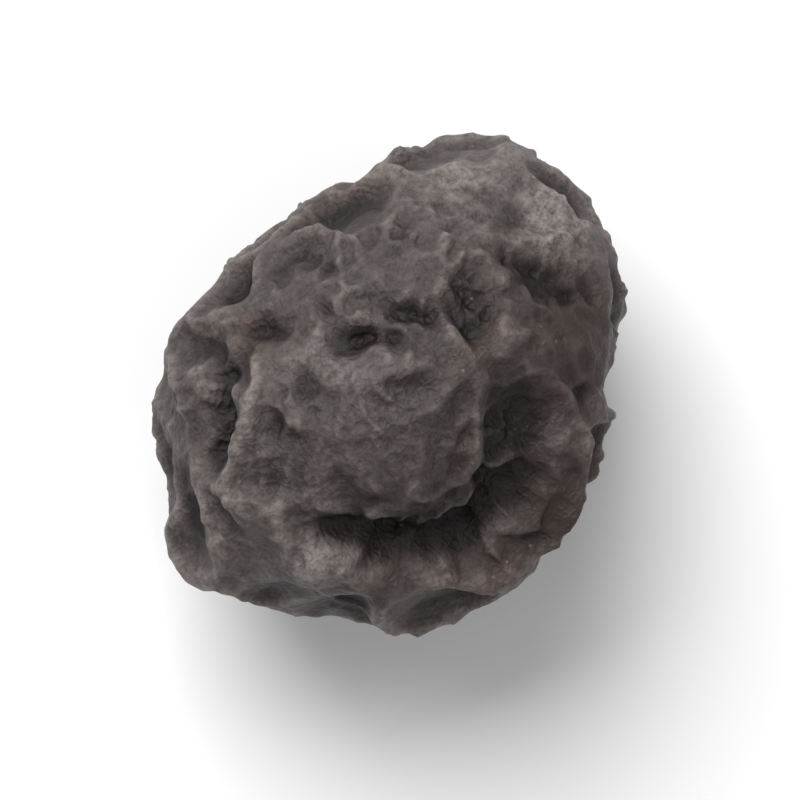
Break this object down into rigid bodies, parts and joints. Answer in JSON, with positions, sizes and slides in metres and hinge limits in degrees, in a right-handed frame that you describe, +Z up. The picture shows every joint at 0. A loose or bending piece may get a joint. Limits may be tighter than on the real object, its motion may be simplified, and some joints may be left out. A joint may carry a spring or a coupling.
{
  "type": "black peppercorn",
  "caption": "Single dried black peppercorn with a raised net of wrinkles, a stalk scar and a flat spot to rest on.",
  "frame": {"origin": "middle of the berry's footprint box, on the surface that it rests on", "axes": "+X along the berry's length from the stalk scar to the tip, +Y across it, +Z up from the resting spot"},
  "size_m": [0.0064, 0.005, 0.0048],
  "materials": {
    "skin": "dry matt wrinkled skin, a little satin on the ridges"
  },
  "bodies": {
    "root": {"peppercorn": "skin"}
  },
  "joints": []
}
